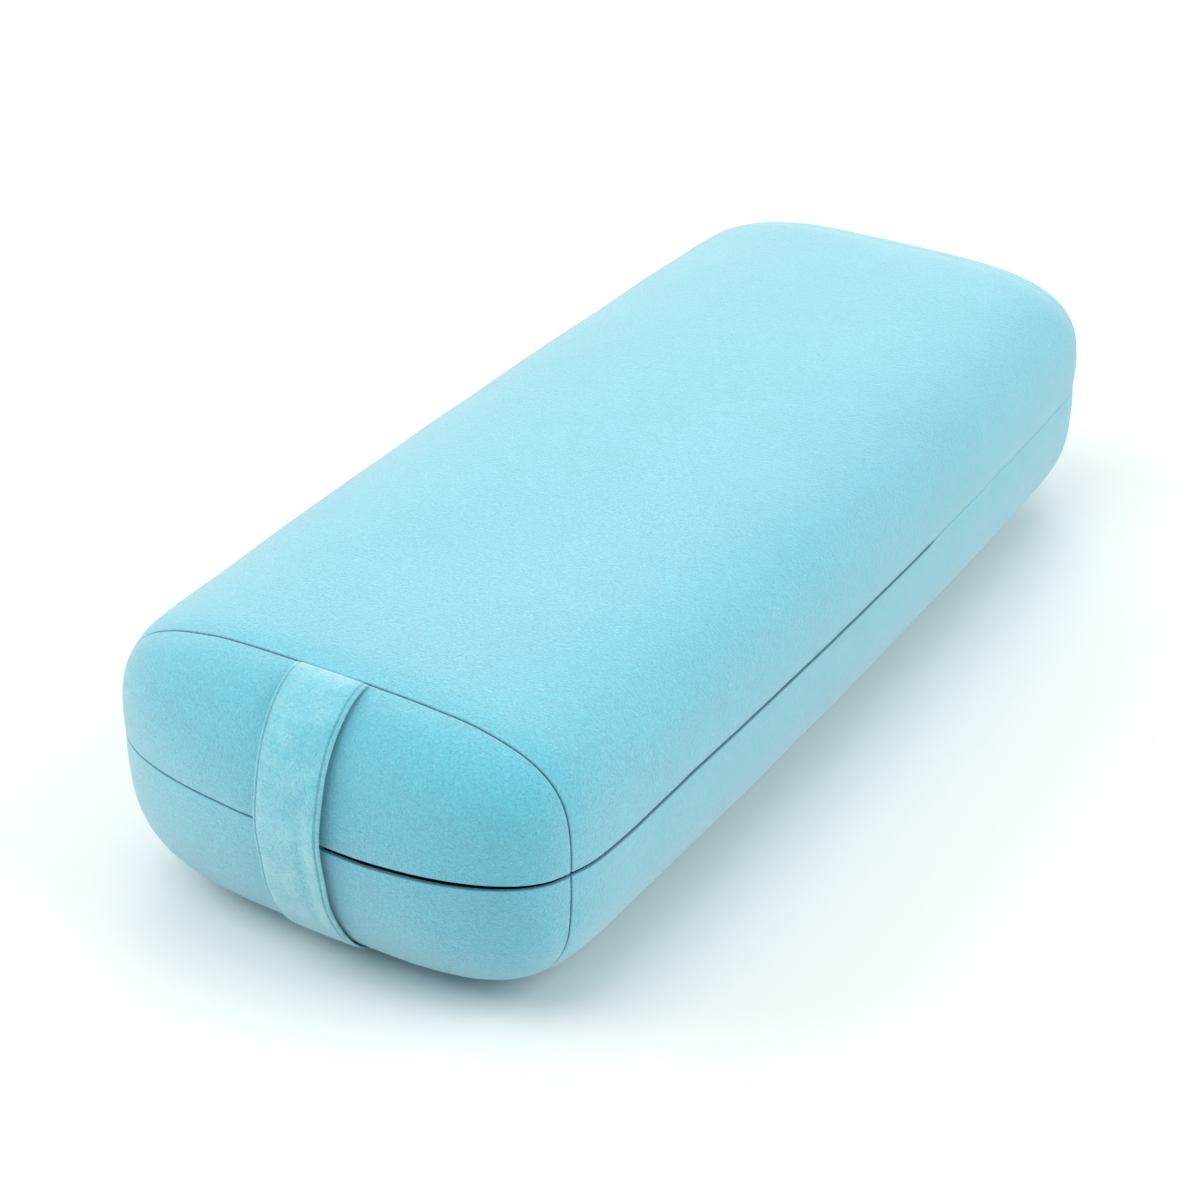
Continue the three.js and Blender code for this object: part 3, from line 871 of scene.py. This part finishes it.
def zip_plan(progress, depth):
    """Plan points of the zip's run at a depth: progress 0 to 1 leads from behind the strap
    round the corner, and 1 to 2 along the side."""
    start_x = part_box("zip_tape_upper")[0].x
    left_at_start = (start_x / (HALF_WIDTH - ZIP_START_DEPTH)) ** PLAN_POWER
    start_turn = math.asin((1 - left_at_start) ** (1 / END_POWER))
    turn = start_turn * (1 - np.clip(progress, 0, 1))
    front_y = -STRAIGHT - (END_ROUNDING - depth) * np.sin(turn)
    side_y = -STRAIGHT + (np.clip(progress, 1, 2) - 1) * (ZIP_END + STRAIGHT)
    y = np.where(progress < 1, front_y, side_y)
    return np.minimum(half_width(y, depth), ZIP_SIDE_X - depth), y


def zip_table():
    """Progress along the zip against the length from its start, at the tape's depth."""
    progress = np.linspace(0, 2, 4001)
    x, y = zip_plan(progress, TAPE_DEPTH)
    return progress, arc_lengths(x, y)


ZIP_PROGRESS, ZIP_ARC = zip_table()


def zip_point(arc, depth, height):
    """A point at a length along the zip, a depth below the side and a height off the seam."""
    arc, depth, height = np.broadcast_arrays(arc, depth, height)
    x, y = zip_plan(np.interp(arc, ZIP_ARC, ZIP_PROGRESS), depth)
    sag = zip_sag(np.stack([x, y], -1))
    return np.stack([x, y + CENTRE_Y, SEAM_Z + height - sag], -1)


def zip_length_to(y):
    """The length along the zip at a station on its straight side run."""
    progress = 1 + (y - CENTRE_Y + STRAIGHT) / (ZIP_END + STRAIGHT)
    return float(np.interp(progress, ZIP_PROGRESS, ZIP_ARC))


def zip_strip(name, depths, heights, stop):
    """A strip of one closed section along the zip."""
    arcs = np.linspace(0, stop, round(stop / ZIP_STATION) + 1)
    return tube(name, zip_point(arcs[:, None], depths, heights))


def zip_tape(label, side):
    low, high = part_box(f"zip_tape_{label}")
    near, far = sorted(abs(z - SEAM_Z) for z in (low.z, high.z))
    outer = ZIP_SIDE_X - high.x
    inner, c = outer + TAPE_THICKNESS, TAPE_CHAMFER
    depths = np.array([outer + c, inner - c, inner, inner, inner - c, outer + c, outer, outer])
    heights = side * np.array([near, near, near + c, far - c, far, far, far - c, near + c])
    return zip_strip(f"zip_tape_weave_{label}", depths, heights, zip_length_to(high.y))


def zip_coil(label, side):
    """A nylon coil: one wire wound round and round along the tape's edge."""
    low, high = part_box(f"zip_coil_{label}")
    half_height = (high.z - low.z) / 2
    depth = ZIP_SIDE_X - high.x + COIL_HALF_DEPTH
    height = (low.z + high.z) / 2 - SEAM_Z
    steps = np.arange(int(zip_length_to(high.y) / COIL_PITCH) * COIL_SEGMENTS + 1)
    phase = 2 * math.pi * steps / COIL_SEGMENTS + (0 if side > 0 else math.pi)
    ring = 2 * math.pi * np.arange(COIL_SIDES) / COIL_SIDES
    wire = COIL_WIRE * np.cos(ring) - COIL_WIRE
    points = zip_point(
        (steps * COIL_PITCH / COIL_SEGMENTS)[:, None] + COIL_WIRE * np.sin(ring),
        depth + np.cos(phase)[:, None] * (COIL_HALF_DEPTH + wire),
        height + np.sin(phase)[:, None] * (half_height + wire),
    )
    return tube(f"zip_coil_wire_{label}", points)


def rounded_copy(node, name, width):
    """A metal part's CAD mesh with its hard edges rounded over."""
    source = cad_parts[node]
    editable = bmesh.new()
    editable.from_mesh(source.data)
    editable.transform(source.matrix_world)
    bmesh.ops.remove_doubles(editable, verts=editable.verts, dist=0.005 * MM)
    flat = math.radians(2)
    bmesh.ops.dissolve_limit(
        editable, angle_limit=flat, verts=editable.verts, edges=editable.edges
    )
    mesh = bpy.data.meshes.new(name)
    editable.to_mesh(mesh)
    editable.free()
    piece = add_object(name, mesh)
    bevel = piece.modifiers.new("bevel", "BEVEL")
    bevel.width = width
    bevel.segments = 3
    bevel.limit_method = "ANGLE"
    return piece


def build_zip(tape_material, coil_material, metal, suede_material):
    for label, side in HALVES:
        tape = zip_tape(label, side)
        finish_piece(tape, tape_material, "zip_tape", f"zip_tape_{label}")
        coil = zip_coil(label, side)
        finish_piece(coil, coil_material, "zip_coil", f"zip_coil_{label}")
        stop = zip_length_to(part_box(f"zip_lip_{label}")[1].y)
        facing = zip_strip(f"zip_facing_{label}", FACING_DEPTHS, side * FACING_HEIGHTS, stop)
        # The facing's colour is darkened with painted shade.
        set_shade(facing, np.full(len(facing.data.vertices), FACING_SHADE))
        finish_piece(facing, suede_material, "cover", f"zip_lip_{label}")
    metal_parts = [
        ("zip_top_stop_upper", "zip_stop_clip_upper", 0.3 * MM, "cushion"),
        ("zip_top_stop_lower", "zip_stop_clip_lower", 0.3 * MM, "cushion"),
        ("zip_bottom_stop", "zip_stop_clip_bottom", 0.3 * MM, "cushion"),
        ("zip_slider", "zip_slider_body", 0.18 * MM, "zip_slider"),
        ("zip_pull_tab", "zip_pull", 0.2 * MM, "zip_pull"),
    ]
    for node, name, width, body in metal_parts:
        finish_piece(rounded_copy(node, name, width), metal, "zip_metal", node, body=body)


# ---- Liner, filling and label ----

LINER_DEPTH = 2.3 * MM
LINER_THICKNESS = 0.7 * MM
WADDING_DEPTH = 3.4 * MM
WADDING_THICKNESS = 10.5 * MM
CORE_DEPTH = 15.5 * MM
SEAM_ALLOWANCE = 5 * MM  # how far the filling is pressed in under a seam
SEAM_ALLOWANCE_WIDTH = 11 * MM
CHANNEL_EXTRA = 8.2 * MM  # and behind the zip
CHANNEL_HALF_HEIGHT = 15 * MM
CHANNEL_OVERRUN = 30 * MM  # past the zip's end
HALF_GAP = 0.3 * MM  # from the mid-height seam to each half of a layer
HALF_GAP_REACH = 6 * MM
LABEL_THICKNESS = 0.15 * MM


def pressed_in(points):
    """How much deeper the filling lies under the seams and behind the zip."""
    to_mid, to_end = seam_distance(points)
    seam = bell(np.minimum(to_mid, to_end), SEAM_ALLOWANCE_WIDTH)
    run = (points[..., 0] > 0) & (points[..., 1] < ZIP_END + CHANNEL_OVERRUN)
    channel = smooth_step(1.5 - to_mid / CHANNEL_HALF_HEIGHT) * run
    return np.maximum(SEAM_ALLOWANCE * seam, CHANNEL_EXTRA * channel)


def inner_points(depth, lumps=0.0):
    """The filled-out cloth's points taken down to a depth, with soft lumps."""
    x, y, z = CLOTH_POINTS.T
    uneven = waves(x + 0.7 * z, (23 * MM, 41 * MM), 21) * waves(y - 0.5 * z, (31 * MM, 53 * MM), 22)
    below = depth + pressed_in(CLOTH_POINTS) + lumps * (uneven + 1)
    points = CLOTH_POINTS + CLOTH_SHIFT - normals(CLOTH_POINTS) * below[:, None]
    points[:, 2] = np.maximum(points[:, 2], depth)
    points[:, 1] += CENTRE_Y
    return points


def half_shell(name, side, depth, thickness, lumps):
    """The upper or lower half of an inner layer, open at the mid-height seam."""
    points = inner_points(depth, lumps)
    height = side * (CLOTH_POINTS[:, 2] - SEAM_Z)
    points[:, 2] += side * HALF_GAP * np.exp(-np.abs(height) / HALF_GAP_REACH)
    faces = CLOTH_FACES[height[CLOTH_FACES].min(axis=1) > -0.1 * MM]
    used, renumbered = np.unique(faces, return_inverse=True)
    shell = new_piece(name, points[used], renumbered.reshape(faces.shape))
    soften(shell)
    thicken(shell, thickness)
    return shell


def build_filling(liner_material, wadding_material, foam_material):
    for label, side in HALVES:
        liner = half_shell(f"liner_cloth_{label}", side, LINER_DEPTH, LINER_THICKNESS, 0.2 * MM)
        finish_piece(liner, liner_material, "liner", f"liner_{label}")
        name = f"wadding_layer_{label}"
        wadding = half_shell(name, side, WADDING_DEPTH, WADDING_THICKNESS, 0.5 * MM)
        finish_piece(wadding, wadding_material, "wadding", f"wadding_{label}")
    core = new_piece("foam_block", inner_points(CORE_DEPTH), CLOTH_FACES)
    soften(core)
    finish_piece(core, foam_material, "foam", "foam_core")


def build_label(material):
    """A blank satin ribbon, slightly curled, sewn in past the zip's end."""
    low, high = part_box("care_label")
    rows, columns = 17, 13
    along = np.linspace(0, 1, rows)[:, None]
    upward = np.linspace(0, 1, columns)[None, :]
    x = high.x - 0.4 * MM * np.sin(math.pi * along) - 0.2 * MM * np.sin(2 * math.pi * upward)
    y = low.y + (high.y - low.y) * along
    z = low.z + (high.z - low.z) * upward
    grid = np.stack(np.broadcast_arrays(x, y, z), -1)
    ribbon = new_piece("care_ribbon", grid.reshape(-1, 3), quads(grid_index(rows, columns)))
    thicken(ribbon, LABEL_THICKNESS)
    finish_piece(ribbon, material, "label", "care_label")


# ---- Materials ----


def srgb(red, green, blue):
    """A linear colour from 0 to 255 display values."""
    values = [v / 255 for v in (red, green, blue)]
    linear = [v / 12.92 if v <= 0.04045 else ((v + 0.055) / 1.055) ** 2.4 for v in values]
    return (*linear, 1)


def grey(value):
    return (value, value, value, 1)


def set_inputs(node, values):
    for key, value in values.items():
        node.inputs[key.replace("_", " ")].default_value = value
    return node


class Nodes:
    """A material under construction, with short names for the nodes it is made of."""

    def __init__(self, name):
        self.material = bpy.data.materials.new(name)
        self.material.use_nodes = True
        self.tree = self.material.node_tree
        self.shader = self.tree.nodes["Principled BSDF"]

    def add(self, kind, **inputs):
        return set_inputs(self.tree.nodes.new(kind), inputs)

    def link(self, source, target):
        self.tree.links.new(source, target)

    def place(self):
        return self.tree.nodes.new("ShaderNodeTexCoord").outputs["Object"]

    def noise(self, size, detail=2.0, roughness=0.5, distortion=0.0):
        """Noise whose lumps are about size metres across."""
        shape = {"Detail": detail, "Roughness": roughness, "Distortion": distortion}
        node = self.add("ShaderNodeTexNoise", Scale=1 / size, **shape)
        self.link(self.place(), node.inputs["Vector"])
        return node.outputs["Fac"]

    def bands(self, direction, size, distortion):
        """Soft parallel bands size metres apart along an axis."""
        node = self.add("ShaderNodeTexWave", Scale=math.pi / 10 / size, Distortion=distortion)
        node.bands_direction = direction
        self.link(self.place(), node.inputs["Vector"])
        return node.outputs["Fac"]

    def painted(self, name):
        """A value stored on the vertices, 0 on a mesh that has none."""
        node = self.tree.nodes.new("ShaderNodeAttribute")
        node.attribute_name = name
        return node.outputs["Fac"]

    def ramp(self, source, stops):
        node = self.tree.nodes.new("ShaderNodeValToRGB")
        elements = node.color_ramp.elements
        while len(elements) < len(stops):
            elements.new(0.5)
        for element, (position, colour) in zip(elements, stops):
            element.position = position
            element.color = colour
        self.link(source, node.inputs["Fac"])
        return node.outputs["Color"]

    def mix(self, first, second, factor=1.0, blend="MULTIPLY"):
        node = self.tree.nodes.new("ShaderNodeMix")
        node.data_type = "RGBA"
        node.blend_type = blend
        node.inputs[0].default_value = factor
        self.link(first, node.inputs[6])
        self.link(second, node.inputs[7])
        return node.outputs[2]

    def bump(self, height, strength, distance, over=None):
        node = self.add("ShaderNodeBump", Strength=strength, Distance=distance)
        self.link(height, node.inputs["Height"])
        if over is not None:
            self.link(over, node.inputs["Normal"])
        return node.outputs["Normal"]

    def constants(self, **values):
        """Sets the shader's constants, and gives the material."""
        set_inputs(self.shader, values)
        return self.material

    def finish(self, colour, normal, **values):
        """Links the colour and relief, sets the constants, and gives the material."""
        self.link(colour, self.shader.inputs["Base Color"])
        self.link(normal, self.shader.inputs["Normal"])
        return self.constants(**values)


def suede(name, base, light, dark, patch_size):
    """Brushed microfibre suede: a short nap with faint patches and a fine grain, darkened with
    painted shade where the mesh stores it.
    """
    n = Nodes(name)
    patches = n.noise(patch_size, 3.0, 0.55, 0.4)
    colour = n.ramp(patches, [(0.3, dark), (0.5, base), (0.72, light)])
    grain = n.noise(1.3 * MM, 3.0, 0.7, 0.9)
    speckle = n.ramp(grain, [(0.3, grey(0.74)), (0.62, grey(1.0))])
    # Painted shade: the stored seam_shade value darkens the colour towards deep teal beside the
    # seams, inside the zip and along the strap's stitching.
    shade = n.ramp(n.painted("seam_shade"), [(0.0, grey(1.0)), (1.0, srgb(15, 160, 180))])
    colour = n.mix(n.mix(colour, speckle), shade)
    fibres = n.bump(grain, 1.0, 0.9 * MM)
    nap = n.bump(n.noise(6 * MM, 3.0, 0.6), 0.2, 0.5 * MM, fibres)
    return n.finish(
        colour, nap, Roughness=0.95, Specular_IOR_Level=0.1,
        Sheen_Weight=1.0, Sheen_Roughness=0.62, Sheen_Tint=srgb(250, 254, 255),
    )


def woven(name, warp, weft, size, roughness=0.8):
    """A plain weave: crossed bands of two threads, with a matching relief."""
    n = Nodes(name)
    crossing = n.mix(n.bands("Y", size, 0.4), n.bands("Z", size, 0.4), 0.5, "MIX")
    colour = n.ramp(crossing, [(0.25, warp), (0.75, weft)])
    uneven = n.ramp(n.noise(12 * size), [(0.3, grey(0.85)), (0.7, grey(1.0))])
    relief = n.bump(crossing, 0.5, 0.3 * size)
    return n.finish(
        n.mix(colour, uneven), relief, Roughness=roughness, Specular_IOR_Level=0.25
    )


def fibrous(name, light, dark, size, depth):
    """A loose fibre or open-cell surface."""
    n = Nodes(name)
    lumps = n.noise(size, 4.0, 0.7, 0.6)
    colour = n.ramp(lumps, [(0.3, dark), (0.7, light)])
    return n.finish(colour, n.bump(lumps, 0.6, depth), Roughness=0.95, Specular_IOR_Level=0.1)


def lacquered(name, base, worn, metallic):
    """A smooth lacquered or moulded surface with faint handling wear."""
    n = Nodes(name)
    wear = n.noise(1.2 * MM, 3.0, 0.6)
    colour = n.ramp(wear, [(0.45, base), (0.75, worn)])
    roughness = n.ramp(wear, [(0.3, grey(0.28)), (0.8, grey(0.5))])
    n.link(roughness, n.shader.inputs["Roughness"])
    return n.finish(colour, n.bump(wear, 0.2, 0.05 * MM), Metallic=metallic)


# ---- Stage, camera and light ----

CAMERA_AZIMUTH = math.radians(31.22)
CAMERA_ELEVATION = math.radians(30.68)
CAMERA_OFFSET = Vector((-28.49, 32.57, 1483.27)) * MM  # right, up and back of its middle
CAMERA_LENS = 80.4
FLOOR_SIZE = 12.0
FLOOR_GREY = 0.88
FLOOR_GAP = 0.2 * MM  # under the object
# Each light's direction (azimuth from +X and elevation, degrees), distance, size and power.
LIGHTS = {
    "key_left": ((205, 32), 3.6, 2.5, 54),
    "key_front": ((245, 60), 4.0, 2.5, 37),
    "fill_right": ((20, 35), 4.0, 3.2, 84),
    "top": ((90, 88), 4.0, 3.2, 46),
    "back": ((120, 20), 4.3, 2.9, 67),
}
LIGHT_COLOUR = (1.0, 0.965, 0.94)
WORLD_COLOUR = (0.76, 0.96, 1.0, 1)
WORLD_STRENGTH = 0.38


def camera_axes():
    sin_a, cos_a = math.sin(CAMERA_AZIMUTH), math.cos(CAMERA_AZIMUTH)
    sin_e, cos_e = math.sin(CAMERA_ELEVATION), math.cos(CAMERA_ELEVATION)
    back = Vector((sin_a * cos_e, -cos_a * cos_e, sin_e))
    right = Vector((cos_a, sin_a, 0))
    return right, back.cross(right), back


def add_camera():
    right, up, back = camera_axes()
    data = bpy.data.cameras.new("camera")
    data.lens = CAMERA_LENS
    camera = add_object("camera", data)
    place = right * CAMERA_OFFSET.x + up * CAMERA_OFFSET.y + back * CAMERA_OFFSET.z
    place.y += CENTRE_Y
    turn = Matrix((right, up, back)).transposed().to_4x4()
    camera.matrix_world = Matrix.Translation(place) @ turn
    bpy.context.scene.camera = camera


def add_floor():
    s = FLOOR_SIZE / 2
    corners = [(-s, -s, 0), (s, -s, 0), (s, s, 0), (-s, s, 0)]
    floor = new_piece("floor", corners, [(0, 1, 2, 3)], smooth=False)
    matt = {"Roughness": 0.9, "Specular_IOR_Level": 0.1}
    floor.data.materials.append(Nodes("floor").constants(Base_Color=grey(FLOOR_GREY), **matt))
    floor.location.z = -FLOOR_GAP


def add_light(name, direction, distance, size, power):
    azimuth, elevation = (math.radians(v) for v in direction)
    toward = Vector((
        math.cos(azimuth) * math.cos(elevation),
        math.sin(azimuth) * math.cos(elevation),
        math.sin(elevation),
    ))
    data = bpy.data.lights.new(name, "AREA")
    data.shape = "DISK"
    data.size = size
    data.energy = power
    data.color = LIGHT_COLOUR
    light = add_object(name, data)
    light.location = Vector((0, CENTRE_Y, SEAM_Z)) + toward * distance
    light.rotation_euler = (-toward).to_track_quat("-Z", "Y").to_euler()


def light_scene():
    for name, (direction, distance, size, power) in LIGHTS.items():
        add_light(name, direction, distance, size, power)
    world = bpy.data.worlds.new("studio")
    world.use_nodes = True
    background = world.node_tree.nodes["Background"]
    background.inputs["Color"].default_value = WORLD_COLOUR
    background.inputs["Strength"].default_value = WORLD_STRENGTH
    bpy.context.scene.world = world
    bpy.context.scene.view_settings.view_transform = "Standard"


# ---- The whole scene ----

CLOTH_POINTS, CLOTH_SHIFT, CLOTH_FACES, BODY_INDEX, CAP_INDICES = filled_cloth()
STRAP_LINE, STRAP_OUT, STRAP_LENGTH = strap_route()

cover_suede = suede(
    "cover_suede", srgb(93, 211, 235), srgb(97, 214, 238), srgb(89, 208, 232), 60 * MM
)
strap_suede = suede(
    "strap_suede", srgb(122, 224, 244), srgb(150, 235, 250), srgb(94, 213, 236), 14 * MM
)
strap_webbing = woven("strap_webbing", srgb(120, 200, 214), srgb(142, 214, 226), 0.9 * MM)
sewing_thread = woven("sewing_thread", srgb(120, 202, 218), srgb(150, 220, 232), 0.25 * MM)
teal_tape = woven("teal_tape", srgb(10, 66, 82), srgb(18, 84, 100), 0.7 * MM)
teal_nylon = lacquered("teal_nylon", srgb(8, 60, 76), srgb(18, 80, 96), 0.0)
lacquered_zinc = lacquered("lacquered_zinc", srgb(86, 158, 174), srgb(150, 192, 200), 0.75)
satin_ribbon = woven("satin_ribbon", srgb(238, 238, 235), srgb(250, 250, 248), 0.5 * MM, 0.5)
liner_cotton = woven("liner_cotton", srgb(232, 228, 216), srgb(246, 243, 234), 0.8 * MM)
fibre_wadding = fibrous(
    "fibre_wadding", srgb(250, 250, 250), srgb(226, 228, 230), 5 * MM, 1.5 * MM
)
open_foam = fibrous("open_foam", srgb(246, 234, 186), srgb(220, 202, 146), 1.4 * MM, 0.6 * MM)

build_cover(cover_suede)
build_strap(strap_suede, strap_webbing, sewing_thread)
build_zip(teal_tape, teal_nylon, lacquered_zinc, cover_suede)
build_filling(liner_cotton, fibre_wadding, open_foam)
build_label(satin_ribbon)
add_camera()
add_floor()
light_scene()
